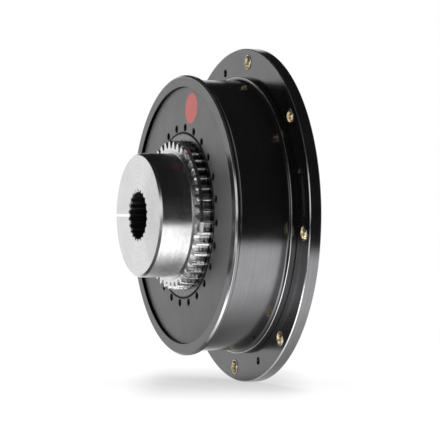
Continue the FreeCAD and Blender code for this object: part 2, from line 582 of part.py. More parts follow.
# Clamping screw: socket head screw across the slot, its head seated in the pocket.
clamp_screw = new_body("clamp_screw")
head_radius = "Sizes.clamp_head / 2"
shank_radius = "Sizes.clamp_diameter / 2"
turn(clamp_screw, "clamp_bar", [
    ("0", "(0 - Sizes.clamp_length)"),
    (f"({shank_radius} - Sizes.clamp_head_chamfer)", "(0 - Sizes.clamp_length)"),
    (shank_radius, "(Sizes.clamp_head_chamfer - Sizes.clamp_length)"),
    (shank_radius, "0"),
    (head_radius, "0"),
    (head_radius, "(Sizes.clamp_head_height - Sizes.clamp_head_chamfer)"),
    (f"({head_radius} - Sizes.clamp_head_chamfer)", "Sizes.clamp_head_height"),
    ("0", "Sizes.clamp_head_height"),
])
hex_sketch = new_sketch(clamp_screw, "clamp_socket_outline", "XY_Plane",
                        "Sizes.clamp_head_height")
draw_hexagon(hex_sketch, "0", "0", "Sizes.clamp_socket")
cut(clamp_screw, "clamp_socket", hex_sketch, "Sizes.clamp_socket_depth", forward=False)
clamp_screw.Placement = FreeCAD.Placement(
    FreeCAD.Vector(-value(clamp_station), value(clamp_offset), value("Sizes.clamp_seat")),
    FreeCAD.Rotation())
clamp_screw.setExpression("Placement.Base.x", f"-{clamp_station}")
clamp_screw.setExpression("Placement.Base.y", clamp_offset)
clamp_screw.setExpression("Placement.Base.z", "Sizes.clamp_seat")

for body in (flange_plate, drum, drum_screws, rubber_ring, toothed_sleeve, hub):
    body.Placement = FreeCAD.Placement(FreeCAD.Vector(0, 0, 0), TURNED)
doc.recompute()

pieces = [hub, clamp_screw, toothed_sleeve, rubber_ring, drum, flange_plate, drum_screws]
pieces += bushes
for item in doc.Objects:
    if "Invalid" in item.State or "Error" in item.State:
        raise RuntimeError(f"{item.Label} failed: {item.State}")
for piece in pieces:
    if piece.Shape.isNull() or not piece.Shape.isValid():
        raise RuntimeError(f"{piece.Label} has no valid shape")

os.makedirs("parts", exist_ok=True)
for piece in pieces:
    piece.Shape.exportStep(f"parts/{piece.Label}.step")
    box = piece.Shape.BoundBox
    print(piece.Label, len(piece.Shape.Solids), "solids", round(piece.Shape.Volume), "mm3",
          [round(edge, 1) for edge in (box.XMin, box.XMax, box.YMin, box.YMax, box.ZMin, box.ZMax)])
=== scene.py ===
import bmesh
import bpy
import math
from mathutils import Matrix, Vector


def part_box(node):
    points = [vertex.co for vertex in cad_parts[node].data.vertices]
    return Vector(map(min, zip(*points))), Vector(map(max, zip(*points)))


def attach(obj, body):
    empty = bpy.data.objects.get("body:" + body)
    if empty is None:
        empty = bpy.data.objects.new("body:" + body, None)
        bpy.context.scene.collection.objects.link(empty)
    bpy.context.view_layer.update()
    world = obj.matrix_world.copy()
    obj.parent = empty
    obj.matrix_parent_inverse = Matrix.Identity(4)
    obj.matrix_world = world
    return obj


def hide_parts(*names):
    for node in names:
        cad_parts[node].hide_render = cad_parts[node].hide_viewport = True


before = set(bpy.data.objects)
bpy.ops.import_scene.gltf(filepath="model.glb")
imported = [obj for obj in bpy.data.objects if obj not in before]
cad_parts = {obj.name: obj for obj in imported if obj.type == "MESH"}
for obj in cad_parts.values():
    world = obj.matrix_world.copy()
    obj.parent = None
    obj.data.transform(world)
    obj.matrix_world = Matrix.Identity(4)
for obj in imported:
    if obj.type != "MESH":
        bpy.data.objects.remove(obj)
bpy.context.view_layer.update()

# Flange plate: a steel disc, turned all over and drilled, with a dark polished finish. Its
# rim centres the coupling in the flywheel, and the low ring in front centres the drum.
# Everything turned is drawn as an outline (radius, height, rounding), with the height
# measured along the axis from the flange's rear face towards the hub.
mm = 0.001
plate_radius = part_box("flange_plate")[1].z
plate_front = -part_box("drum")[1].x
plate_bore = 82.0 * mm
plate_chamfer = 0.6 * mm
spigot_radius = 87.95 * mm
spigot_front = -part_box("flange_plate")[0].x
edge_break = 0.35 * mm
ring_steps = 360
bolt_radius = 111.125 * mm
bolt_count = 8
bolt_clock = math.radians(-6.35)
bolt_hole = 5.25 * mm
jack_radius = 108.5 * mm
jack_count = 4
jack_core = 2.5 * mm
jack_thread = 3.0 * mm
jack_pitch = 1.0 * mm
screw_radius = 92.75 * mm
screw_count = 12
screw_hole = 3.3 * mm
screw_head = 6.0 * mm
screw_sink = 0.3 * mm


def outline_of(corners, fold=False):
    """A flat outline from corners (radius, height, rounding), its corners rounded."""
    bm = bmesh.new()
    verts = [bm.verts.new((-height, 0, radius)) for radius, height, rounding in corners]
    bm.faces.new(verts)
    for vert, (radius, height, rounding) in zip(verts, corners):
        if rounding:
            bmesh.ops.bevel(bm, geom=[vert], offset=rounding, affect="VERTICES", profile=0.5,
                            segments=6 if rounding > 0.8 * mm else 3, material=-1)
    bmesh.ops.delete(bm, geom=bm.faces[:], context="FACES_ONLY")
    return bm


def spin_round(bm, steps, centre=(0, 0, 0), axis=(1, 0, 0)):
    """Turn an outline into a closed ring, its normals pointing outwards."""
    bmesh.ops.spin(bm, geom=bm.verts[:] + bm.edges[:], cent=centre, axis=axis,
                   angle=2 * math.pi, steps=steps, use_merge=True)
    bmesh.ops.remove_doubles(bm, verts=bm.verts[:], dist=1e-7)
    bmesh.ops.recalc_face_normals(bm, faces=bm.faces[:])
    return bm


def repeat_round(bm, count):
    """Copy all of a bmesh round the coupling's axis, so that there are count of it."""
    bmesh.ops.spin(bm, geom=bm.verts[:] + bm.edges[:] + bm.faces[:], cent=(0, 0, 0),
                   axis=(1, 0, 0), angle=-2 * math.pi * (count - 1) / count,
                   steps=count - 1, use_duplicate=True)
    return bm


def clocked(bm, angle):
    """Turn a bmesh about the coupling's axis, by an angle from the top towards +Y."""
    bmesh.ops.rotate(bm, verts=bm.verts[:], cent=(0, 0, 0),
                     matrix=Matrix.Rotation(-angle, 3, "X"))
    return bm


def new_object(name, bm):
    mesh = bpy.data.meshes.new(name)
    bm.to_mesh(mesh)
    bm.free()
    made = bpy.data.objects.new(name, mesh)
    bpy.context.scene.collection.objects.link(made)
    return made


def cut_away(piece, bm):
    """Take the volume of a bmesh out of a piece."""
    cutter = new_object("cutter", bm)
    boolean = piece.modifiers.new("cut", "BOOLEAN")
    boolean.operation = "DIFFERENCE"
    boolean.solver = "EXACT"
    boolean.object = cutter
    depsgraph = bpy.context.evaluated_depsgraph_get()
    mesh = bpy.data.meshes.new_from_object(piece.evaluated_get(depsgraph))
    piece.modifiers.clear()
    piece.data = mesh
    bpy.data.objects.remove(cutter)


def drill(radius, offset, low, high, mouth, thread=0.0, pitch=0.0):
    """A drill standing at a radius from the axis, with a chamfer at its high end.

    With a thread, its side has a groove for every pitch.
    """
    corners = [(0, low, 0), (radius, low, 0)]
    turns = int((high - low) / pitch) if pitch else 0
    for turn in range(turns):
        middle = low + pitch * (turn + 0.5)
        corners.append((radius, middle - pitch * 0.4, 0))
        corners.append((thread, middle, 0))
        corners.append((radius, middle + pitch * 0.4, 0))
    corners += [(radius, high - mouth, 0), (radius + 2 * mouth, high + mouth, 0),
                (0, high + mouth, 0)]
    bm = outline_of(corners)
    spin_round(bm, 40)
    bmesh.ops.translate(bm, verts=bm.verts[:], vec=(0, 0, offset))
    return bm


flange = new_object("flange_plate_turned", spin_round(outline_of([
    (plate_bore, 0, edge_break),
    (plate_radius - plate_chamfer, 0, 0),
    (plate_radius, plate_chamfer, 0),
    (plate_radius, plate_front - plate_chamfer, 0),
    (plate_radius - plate_chamfer, plate_front, 0),
    (spigot_radius, plate_front, 0),
    (spigot_radius, spigot_front, edge_break),
    (plate_bore, spigot_front, edge_break),
]), ring_steps))
cut_away(flange, clocked(repeat_round(
    drill(bolt_hole, bolt_radius, -1 * mm, plate_front, 0.25 * mm), bolt_count), bolt_clock))
cut_away(flange, clocked(repeat_round(
    drill(jack_core, jack_radius, -1 * mm, plate_front, 0.5 * mm, jack_thread, jack_pitch),
    jack_count), bolt_clock + math.pi / bolt_count))
sink = outline_of([
    (0, -1 * mm, 0),
    (screw_head + screw_sink + 1 * mm, -1 * mm, 0),
    (screw_hole, screw_head + screw_sink - screw_hole, 0),
    (screw_hole, spigot_front + 1 * mm, 0),
    (0, spigot_front + 1 * mm, 0),
])
spin_round(sink, 40)
bmesh.ops.translate(sink, verts=sink.verts[:], vec=(0, 0, screw_radius))
cut_away(flange, repeat_round(sink, screw_count))


def smooth_faces(piece):
    """Smooth shading with crisp edges, in which the flats keep their own direction."""
    piece.data.shade_smooth()
    piece.data.set_sharp_from_angle(angle=math.radians(31))
    normals = piece.modifiers.new("face_weighted", "WEIGHTED_NORMAL")
    normals.keep_sharp = True


class Signal:
    """One output of a material's nodes. Python's arithmetic on it adds Math nodes."""

    def __init__(self, socket):
        self.socket = socket

    def node(self, kind, settings, inputs, output=0):
        """A new node in the same material: its settings first, then values or links."""
        tree = self.socket.id_data
        made = tree.nodes.new(kind)
        for name, setting in settings.items():
            if name == "stops":
                elements = made.color_ramp.elements
                elements[0].position, elements[0].color = setting[0]
                elements[1].position, elements[1].color = setting[-1]
                for position, colour in setting[1:-1]:
                    elements.new(position).color = colour
            else:
                setattr(made, name, setting)
        for name, given in inputs.items():
            if isinstance(given, Signal):
                tree.links.new(given.socket, made.inputs[name])
            else:
                made.inputs[name].default_value = given
        return Signal(made.outputs[output])

    def maths(self, operation, first, second=0.0):
        return self.node("ShaderNodeMath", {"operation": operation}, {0: first, 1: second})

    def __add__(self, other):
        return self.maths("ADD", self, other)

    def __sub__(self, other):
        return self.maths("SUBTRACT", self, other)

    def __mul__(self, other):
        return self.maths("MULTIPLY", self, other)

    def __radd__(self, other):
        return self.maths("ADD", other, self)

    def __rsub__(self, other):
        return self.maths("SUBTRACT", other, self)

    def __rmul__(self, other):
        return self.maths("MULTIPLY", other, self)


def new_finish(name, colour, roughness, metallic):
    """A material, its shader, and the Object coordinates that its patterns are laid on."""
    material = bpy.data.materials.new(name)
    material.use_nodes = True
    nodes = material.node_tree.nodes
    shader = nodes["Principled BSDF"]
    shader.inputs["Base Color"].default_value = (*colour, 1)
    shader.inputs["Roughness"].default_value = roughness
    shader.inputs["Metallic"].default_value = metallic
    return material, shader, Signal(nodes.new("ShaderNodeTexCoord").outputs["Object"])


def feed(shader, socket, signal):
    shader.id_data.links.new(signal.socket, shader.inputs[socket])


def axial(place):
    """The place along the coupling's axis."""
    return place.node("ShaderNodeSeparateXYZ", {}, {0: place})


def radial(place):
    """The distance from the coupling's axis."""
    flat = place.node("ShaderNodeVectorMath", {"operation": "MULTIPLY"},
                      {0: place, 1: (0, 1, 1)})
    return place.node("ShaderNodeVectorMath", {"operation": "LENGTH"}, {0: flat}, "Value")


def noise(place, size, detail=2.0, roughness=0.5):
    """Soft patches of about a size, from 0 to 1."""
    return place.node("ShaderNodeTexNoise", {},
                      {"Vector": place, "Scale": 1 / size, "Detail": detail,
                       "Roughness": roughness})


def lathe_marks(place, pitch, detail=2.0):
    """Fine grooves of a turned surface: rings on faces and on cylinders alike."""
    feed_line = axial(place) + radial(place) * 1.37
    return place.node("ShaderNodeTexNoise", {"noise_dimensions": "1D"},
                      {"W": feed_line, "Scale": 1 / pitch, "Detail": detail})


def ramp(signal, low, high, start=0.0, end=1.0):
    """The signal from low to high, eased from start to end and held outside."""
    return signal.node("ShaderNodeMapRange", {"interpolation_type": "SMOOTHSTEP"},
                       {"Value": signal, "From Min": low, "From Max": high,
                        "To Min": start, "To Max": end})


def turned_normal(place, spread):
    """Normals of a turned surface: its feed marks lean them towards the hub's end."""
    flat = place.node("ShaderNodeVectorMath", {"operation": "MULTIPLY"},
                      {0: place, 1: (0, 1, 1)})
    outward = place.node("ShaderNodeVectorMath", {"operation": "NORMALIZE"}, {0: flat})
    across = place.node("ShaderNodeVectorMath", {"operation": "ADD"},
                        {0: outward, 1: (1, 0, 0)})
    across = place.node("ShaderNodeVectorTransform",
                        {"vector_type": "VECTOR", "convert_from": "OBJECT",
                         "convert_to": "WORLD"}, {"Vector": across})
    tilt = ramp(lathe_marks(place, 0.02 * mm, 0.0), 0.3, 0.7, 0.0, 0 - spread)
    tilted = place.node("ShaderNodeVectorMath", {"operation": "SCALE"},
                        {0: across, "Scale": tilt})
    straight = place.node("ShaderNodeNewGeometry", {}, {}, "Normal")
    return place.node("ShaderNodeVectorMath", {"operation": "ADD"},
                      {0: straight, 1: tilted})


def band(signal, middle, width, fade):
    """1 within a width of a middle value, and 0 further off."""
    off = signal.maths("ABSOLUTE", signal - middle)
    return ramp(off, width, width + fade, 1.0, 0.0)


def blend(mask, first, second):
    """A colour between two, by a mask."""
    return mask.node("ShaderNodeMix", {"data_type": "RGBA"}, {0: mask, 6: first, 7: second}, 2)


def bump(height, distance, strength=1.0):
    return height.node("ShaderNodeBump", {},
                       {"Height": height, "Distance": distance, "Strength": strength})


def dark_steel(name, wear_glint_edges, shade_radius, shade_height):
    """Turned steel with a dark polished oxide, its edges (radius, height, size) rubbed bright and
    painted brighter as a glint, and painted near black as shade within one radius, down to a height."""
    material, shader, place = new_finish(name, (0.14, 0.14, 0.144), 0.17, 0.97)
    grooves = lathe_marks(place, 0.35 * mm)
    streaks = lathe_marks(place, 2.2 * mm, 4.0)
    patches = noise(place, 26 * mm, 4.0, 0.6)
    specks = ramp(noise(place, 1.1 * mm, 1.0), 0.66, 0.74)
    tone = ramp(streaks * 0.3 + patches * 0.7, 0.3, 0.7)
    colour = blend(tone, (0.126, 0.126, 0.13, 1), (0.153, 0.153, 0.157, 1))
    colour = blend(specks * 0.35, colour, (0.12, 0.115, 0.11, 1))
    # Edges rubbed bright by wear, and brighter still as a painted glint on chamfers and corners.
    for radius, height, size in wear_glint_edges:
        wear_glint = (band(radial(place), radius - size / 2, size / 2, 0.2 * mm)
                * band(axial(place), size / 2 - height, size / 2, 0.2 * mm))
        colour = blend(wear_glint * ramp(patches, 0.2, 0.5), colour, (0.65, 0.65, 0.65, 1))
    # Painted shade: near black on the recess wall inside the rim, within one radius and down to a
    # height.
    recess_shade = (ramp(radial(place), shade_radius, shade_radius + 0.25 * mm, 1.0, 0.0)
             * ramp(axial(place), 0 - shade_height, 1 * mm - shade_height, 1.0, 0.0))
    colour = blend(recess_shade, colour, (0.01, 0.01, 0.01, 1))
    feed(shader, "Base Color", colour)
    feed(shader, "Roughness", ramp(patches * 0.6 + grooves * 0.4, 0.3, 0.7, 0.14, 0.2))
    feed(shader, "Normal", bump(grooves, 0.002 * mm, 0.3))
    return material


smooth_faces(flange)
flange.data.materials.append(
    dark_steel("dark_steel_plate", [(plate_radius, plate_front, plate_chamfer)], 0, plate_front))
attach(flange, "housing")
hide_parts("flange_plate")

# Flange bushes: eight short steel sleeves with yellow zinc plating, pressed into the
# flange from behind so that they stand out in front by half a millimetre. The flywheel
# bolts pass through them.
bush_outside = 5.2 * mm
bush_bore = 4.5 * mm
bush_front = -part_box("flange_bush_1")[0].x
bush_chamfer = 0.2 * mm

zinc, zinc_shader, zinc_place = new_finish("yellow_zinc", (0.92, 0.84, 0.68), 0.22, 1.0)
zinc_patches = noise(zinc_place, 2.4 * mm, 3.0)
zinc_colour = blend(ramp(zinc_patches, 0.32, 0.68), (0.98, 0.94, 0.8, 1),
                    (0.96, 0.83, 0.67, 1))
zinc_colour = blend(ramp(noise(zinc_place, 0.9 * mm), 0.55, 0.7) * 0.5, zinc_colour,
                    (0.88, 0.9, 0.62, 1))
# Painted shade: darker in patches deep in the bush's bore.
bush_bore_shade = band(axial(zinc_place), -7.0 * mm, 0.7 * mm, 0.5 * mm) * ramp(zinc_patches, 0.3, 0.5)
zinc_colour = blend(bush_bore_shade * 0.8, zinc_colour, (0.12, 0.1, 0.07, 1))
feed(zinc_shader, "Base Color", zinc_colour)
feed(zinc_shader, "Roughness", ramp(zinc_patches, 0.3, 0.7, 0.1, 0.2))
feed(zinc_shader, "Normal", bump(noise(zinc_place, 0.6 * mm), 0.02 * mm, 0.6))

for number in range(bolt_count):
    bm = spin_round(outline_of([
        (bush_bore, 0, edge_break / 2),
        (bush_outside, 0, edge_break / 2),
        (bush_outside, bush_front - bush_chamfer, 0),
        (bush_outside - bush_chamfer, bush_front, 0.1 * mm),
        (bush_bore + bush_chamfer, bush_front, 0.1 * mm),
        (bush_bore, bush_front - bush_chamfer, 0),
    ]), 64)
    bmesh.ops.translate(bm, verts=bm.verts[:], vec=(0, 0, bolt_radius))
    clocked(bm, bolt_clock + 2 * math.pi * number / bolt_count)
    bush = new_object(f"bush_turned_{number + 1}", bm)
    smooth_faces(bush)
    bush.data.materials.append(zinc)
    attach(bush, "housing")
    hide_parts(f"flange_bush_{number + 1}")

# Drum: a cast ring turned all over, with the same dark polished finish as the flange. It
# has a foot collar against the flange and a thicker front rim, whose recess the rubber
# runs out into, and the drum screws hold it from behind.
drum_bore = 88.0 * mm
drum_radius = 97.5 * mm
drum_front = -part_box("drum")[0].x
collar_radius = 100.1 * mm
collar_front = plate_front + 4.8 * mm
collar_fillet = 1.6 * mm
rim_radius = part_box("drum")[1].z
rim_back = drum_front - 3.6 * mm
rim_fillet = 2.2 * mm
rim_chamfer = 1.2 * mm
drum_break = 0.5 * mm
recess_radius = 92.5 * mm
rubber_edge = drum_front - 2.25 * mm
rubber_skin = 3.0 * mm
tap_depth = plate_front + 10 * mm

drum = new_object("drum_turned", spin_round(outline_of([
    (drum_bore, plate_front, edge_break),
    (collar_radius, plate_front, drum_break),
    (collar_radius, collar_front, drum_break),
    (drum_radius, collar_front, collar_fillet),
    (drum_radius, rim_back, rim_fillet),
    (rim_radius, rim_back, drum_break),
    (rim_radius, drum_front - rim_chamfer, 0.15 * mm),
    (rim_radius - rim_chamfer, drum_front, 0.15 * mm),
    (recess_radius, drum_front, edge_break),
    (recess_radius, rubber_edge - rubber_skin, 0),
    (drum_bore, rubber_edge - rubber_skin, 0),
]), ring_steps))
cut_away(drum, repeat_round(
    drill(3 * mm, screw_radius, plate_front - 1 * mm, tap_depth, 0), screw_count))
smooth_faces(drum)
drum.data.materials.append(dark_steel("dark_steel_drum", [
    (rim_radius, drum_front, rim_chamfer),
    (collar_radius, collar_front, drum_break),
], recess_radius, rubber_edge - rubber_skin))
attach(drum, "housing")
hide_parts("drum")

# Drum screws: twelve countersunk socket screws with black oxide, flush in the back of the
# flange, that pull the drum against it.
screw_shank = 3.0 * mm
screw_tip = -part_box("drum_screws")[0].x
socket_flats = 4.0 * mm
socket_depth = 2.4 * mm

screws_bm = outline_of([
    (0, screw_sink, 0),
    (screw_head, screw_sink, 0.15 * mm),
    (screw_shank, screw_sink + screw_head - screw_shank, 0),
    (screw_shank, screw_tip - drum_break, 0),
    (screw_shank - drum_break, screw_tip, 0),
    (0, screw_tip, 0),
])
spin_round(screws_bm, 48)
bmesh.ops.translate(screws_bm, verts=screws_bm.verts[:], vec=(0, 0, screw_radius))
screws = new_object("drum_screws_black", repeat_round(screws_bm, screw_count))


def hexagon_key(flats, depth):
    """A hexagonal key along X, reaching as far as depth on either side of 0."""
    bm = bmesh.new()
    bmesh.ops.create_cone(bm, cap_ends=True, segments=6, radius1=flats / math.sqrt(3),
                          radius2=flats / math.sqrt(3), depth=2 * depth)
    bmesh.ops.rotate(bm, verts=bm.verts[:], matrix=Matrix.Rotation(math.pi / 2, 3, "Y"))
    return bm


keys = hexagon_key(socket_flats, socket_depth + screw_sink)
bmesh.ops.translate(keys, verts=keys.verts[:], vec=(0, 0, screw_radius))
cut_away(screws, repeat_round(keys, screw_count))
smooth_faces(screws)

oxide, oxide_shader, oxide_place = new_finish("black_oxide", (0.05, 0.05, 0.055), 0.38, 0.7)
oxide_patches = noise(oxide_place, 3 * mm, 3.0)
feed(oxide_shader, "Base Color", blend(ramp(oxide_patches, 0.35, 0.7),
                                       (0.035, 0.036, 0.04, 1), (0.085, 0.08, 0.075, 1)))
feed(oxide_shader, "Roughness", ramp(oxide_patches, 0.3, 0.7, 0.3, 0.48))
feed(oxide_shader, "Normal", bump(noise(oxide_place, 0.3 * mm), 0.01 * mm, 0.5))
screws.data.materials.append(oxide)
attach(screws, "housing")
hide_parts("drum_screws")

# Rubber ring: one moulding, bonded to the drum outside and to the toothed sleeve inside,
# with a ring of 24 small holes beside the bond. A round red mark is painted on its front.
sleeve_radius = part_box("toothed_sleeve")[1].z
sleeve_front = -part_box("toothed_sleeve")[0].x
sleeve_rear = -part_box("toothed_sleeve")[1].x
bond_gap = 0.3 * mm
rubber_flat = 67.0 * mm
rubber_rear_drum = 30.0 * mm
rubber_rear_sleeve = 23.5 * mm
rubber_sag = 1.75 * mm
vent_radius = 63.2 * mm
vent_bore = 2.7 * mm
vent_count = 24
vent_clock = math.radians(-4.7)
mark_radius = 78.0 * mm
mark_clock = math.radians(-11.0)
mark_size = 10.9 * mm

ring_bm = outline_of([
    (sleeve_radius + bond_gap, rubber_rear_sleeve, 0.6 * mm),
    ((sleeve_radius + drum_bore) / 2, (rubber_rear_sleeve + rubber_rear_drum) / 2 + rubber_sag,
     14 * mm),
    (drum_bore, rubber_rear_drum, 0.3 * mm),
    (drum_bore, rubber_edge - rubber_skin, 0),
    (recess_radius, rubber_edge - rubber_skin, 0),
    (recess_radius, rubber_edge, 0.5 * mm),
    (rubber_flat, sleeve_front, 3 * mm),
    (sleeve_radius + bond_gap, sleeve_front, 0.8 * mm),
])
ring = new_object("rubber_ring_moulded", spin_round(ring_bm, ring_steps))
vents = outline_of([
    (0, 0, 0),
    (vent_bore, 0, 0),
    (vent_bore, sleeve_front - 0.15 * mm, 0),
    (vent_bore + 0.65 * mm, sleeve_front + 0.5 * mm, 0),
    (0, sleeve_front + 0.5 * mm, 0),
])
spin_round(vents, 28)
bmesh.ops.translate(vents, verts=vents.verts[:], vec=(0, 0, vent_radius))
cut_away(ring, clocked(repeat_round(vents, vent_count), vent_clock))
smooth_faces(ring)

rubber, rubber_shader, rubber_place = new_finish("rubber", (0.03, 0.03, 0.032), 0.4, 0.0)
rubber_shader.inputs["IOR"].default_value = 2.2
grain = noise(rubber_place, 0.5 * mm, 3.0, 0.6)
clouds = noise(rubber_place, 17 * mm, 4.0, 0.6)
flow = lathe_marks(rubber_place, 1.6 * mm, 3.0)
dust = ramp(noise(rubber_place, 0.8 * mm, 1.0), 0.64, 0.74)
rubber_colour = blend(ramp(clouds * 0.6 + flow * 0.4, 0.35, 0.65),
                      (0.042, 0.042, 0.044, 1), (0.062, 0.061, 0.062, 1))
rubber_colour = blend(dust * 0.3, rubber_colour, (0.12, 0.115, 0.11, 1))
# Painted shade: near black inside the vents, from 0.7 mm behind the front face.
vent_shade = (ramp(axial(rubber_place), 0.3 * mm - sleeve_front, 0.7 * mm - sleeve_front)
            * band(radial(rubber_place), vent_radius, 3.2 * mm, 0.3 * mm)
            * ramp(axial(rubber_place), -rubber_edge, 1 * mm - rubber_rear_drum, 1.0, 0.0))
rubber_colour = blend(vent_shade, rubber_colour, (0.01, 0.01, 0.01, 1))
mark_place = rubber_place.node("ShaderNodeMapping", {}, {
    "Vector": rubber_place,
    "Location": (0, -mark_radius * math.sin(mark_clock), -mark_radius * math.cos(mark_clock))})
ragged = radial(mark_place) + (noise(rubber_place, 5 * mm, 3.0) - 0.5) * (1.6 * mm)
front_only = ramp(axial(rubber_place), 1 * mm - rubber_edge, 2 * mm - rubber_edge, 1.0, 0.0)
marked = ramp(ragged, mark_size - 0.3 * mm, mark_size + 0.3 * mm, 1.0, 0.0) * front_only
paint = blend(ramp(clouds, 0.3, 0.7), (0.62, 0.13, 0.115, 1), (0.68, 0.17, 0.15, 1))
feed(rubber_shader, "Base Color", blend(marked, rubber_colour, paint))
feed(rubber_shader, "Roughness", ramp(grain * 0.4 + clouds * 0.6, 0.3, 0.7, 0.36, 0.5))
feed(rubber_shader, "Metallic", marked * 0.7)
feed(rubber_shader, "Normal", bump(grain * 0.7 + flow * 0.3, 0.03 * mm, 0.5))
ring.data.materials.append(rubber)
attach(ring, "housing")
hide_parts("rubber_ring")

# Toothed sleeve: a phosphated steel ring inside the rubber, its bore cut with 41 straight
# teeth that the crowned teeth of the hub run in.
gear_teeth = 41
gear_pitch = 51.25 * mm
gear_angle = math.radians(20)
gear_clock = math.radians(-3)
flank_clearance = 0.18 * mm
sleeve_root = 54.375 * mm
sleeve_tip = 49.1 * mm
sleeve_chamfer = 0.7 * mm
tip_chamfer = 0.25 * mm


def tooth_half(radius, teeth, pitch, angle):
    """Half the angle that an involute outer tooth takes at a radius."""
    base = pitch * math.cos(angle)
    here = math.acos(min(1.0, base / radius))
    return (math.pi / 2 / teeth + math.tan(angle) - angle - math.tan(here) + here)


def gap_cutter(sides, root_round, low, high, steps):
    """One tooth space at the top: sides are (radius, half angle) from the root outwards."""
    bm = bmesh.new()
    right = [bm.verts.new((-low, radius * math.sin(half), radius * math.cos(half)))
             for radius, half in sides]
    left = [bm.verts.new((-low, -vert.co.y, vert.co.z)) for vert in reversed(right)]
    face = bm.faces.new(right + left)
    if root_round:
        bmesh.ops.bevel(bm, geom=[right[0], left[-1]], offset=root_round, segments=3,
                        affect="VERTICES", profile=0.5, material=-1)
        face = bm.faces[:][0]
    for step in range(steps):
        grown = bmesh.ops.extrude_face_region(bm, geom=[face], use_keep_orig=step == 0)
        moved = [item for item in grown["geom"] if isinstance(item, bmesh.types.BMVert)]
        face = next(item for item in grown["geom"] if isinstance(item, bmesh.types.BMFace))
        bmesh.ops.translate(bm, verts=moved, vec=(-(high - low) / steps, 0, 0))
    bmesh.ops.remove_doubles(bm, verts=bm.verts[:], dist=1e-7)
    bmesh.ops.recalc_face_normals(bm, faces=bm.faces[:])
    return bm


sleeve = new_object("toothed_sleeve_cut", spin_round(outline_of([
    (sleeve_tip + sleeve_chamfer, sleeve_rear, 0),
    (sleeve_radius, sleeve_rear, drum_break),
    (sleeve_radius, sleeve_front, 1.2 * mm),
    (sleeve_tip + sleeve_chamfer, sleeve_front, 0),
    (sleeve_tip, sleeve_front - sleeve_chamfer, 0),
    (sleeve_tip, sleeve_rear + sleeve_chamfer, 0),
]), gear_teeth * 8))


def flank_points(inner, outer, points):
    """Radii from one to another, evenly apart."""
    return [inner + (outer - inner) * step / (points - 1) for step in range(points)]


def sleeve_half(radius):
    """Half the angle of a space between the sleeve's teeth at a radius."""
    return tooth_half(radius, gear_teeth, gear_pitch, gear_angle) + flank_clearance / radius


sleeve_sides = [(radius, sleeve_half(radius))
                for radius in flank_points(sleeve_root, sleeve_tip + tip_chamfer, 5)]
sleeve_sides.append((sleeve_tip - tip_chamfer, sleeve_half(sleeve_tip) + tip_chamfer / sleeve_tip))
sleeve_gap = gap_cutter(sleeve_sides, 0.5 * mm, sleeve_rear - 1 * mm, sleeve_front + 1 * mm, 1)
cut_away(sleeve, clocked(repeat_round(sleeve_gap, gear_teeth),
                         gear_clock + math.pi / gear_teeth))
smooth_faces(sleeve)

phosphate, phosphate_shader, phosphate_place = new_finish(
    "phosphated_steel", (0.16, 0.16, 0.17), 0.25, 1.0)
phosphate_patches = noise(phosphate_place, 6 * mm, 4.0, 0.65)
phosphate_marks = lathe_marks(phosphate_place, 0.4 * mm)
rubbed = band(radial(phosphate_place), sleeve_tip, 0.5 * mm, 1.2 * mm)
phosphate_colour = blend(ramp(phosphate_patches, 0.35, 0.65), (0.15, 0.15, 0.157, 1),
                         (0.22, 0.22, 0.225, 1))
phosphate_colour = blend(rubbed * 0.6, phosphate_colour, (0.45, 0.45, 0.45, 1))
# Painted shade: dark inside the toothing, from 0.4 mm behind the sleeve's front.
toothing_shade = (ramp(axial(phosphate_place), 0.4 * mm - sleeve_front, 2 * mm - sleeve_front)
           * ramp(radial(phosphate_place), sleeve_root + 0.2 * mm, sleeve_root + 0.5 * mm,
                  1.0, 0.0))
phosphate_colour = blend(toothing_shade * 0.8, phosphate_colour, (0.03, 0.028, 0.025, 1))
bonded = ramp(radial(phosphate_place), sleeve_radius - 1.3 * mm, sleeve_radius - 1.1 * mm)
feed(phosphate_shader, "Base Color", blend(bonded * 0.9, phosphate_colour,
                                           (0.012, 0.012, 0.012, 1)))
feed(phosphate_shader, "Roughness", ramp(phosphate_patches, 0.3, 0.7, 0.2, 0.3))
feed(phosphate_shader, "Normal", bump(phosphate_marks, 0.008 * mm, 0.5))
sleeve.data.materials.append(phosphate)
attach(sleeve, "sleeve")
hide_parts("toothed_sleeve")

# Hub: turned from one bar of bright steel. The boss in front has a splined bore and a slot
# that lets a screw clamp it on its shaft, and behind it is a ring of 41 teeth, crowned on
# their tips and flanks, so that the hub can tilt a little and slide in the sleeve.
hub_front = -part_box("hub")[0].x
hub_rear = -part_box("hub")[1].x
gear_front = 64.8 * mm
gear_rear = 36.0 * mm
gear_root = 48.125 * mm
gear_tip = 53.75 * mm
tip_crown = 0.6 * mm
flank_crown = 0.3 * mm
tip_round = 0.35 * mm
tooth_chamfer = 0.4 * mm
boss_radius = 44.45 * mm
boss_chamfer = 1.6 * mm
boss_fillet = 1.0 * mm
shoulder_radius = 42.0 * mm
spline_teeth = 22
spline_pitch = 17.4625 * mm
spline_root = 18.891 * mm
spline_tip = 16.669 * mm
spline_angle = math.radians(30)
bore_chamfer = 0.6 * mm
slot_width = 2.0 * mm
slot_length = 23.5 * mm
clamp_seat = 12.0 * mm
clamp_pocket = 8.5 * mm
clamp_shank = 5.0 * mm
clamp_offset = (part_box("clamp_screw")[0].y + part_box("clamp_screw")[1].y) / 2
clamp_station = -(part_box("clamp_screw")[0].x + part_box("clamp_screw")[1].x) / 2

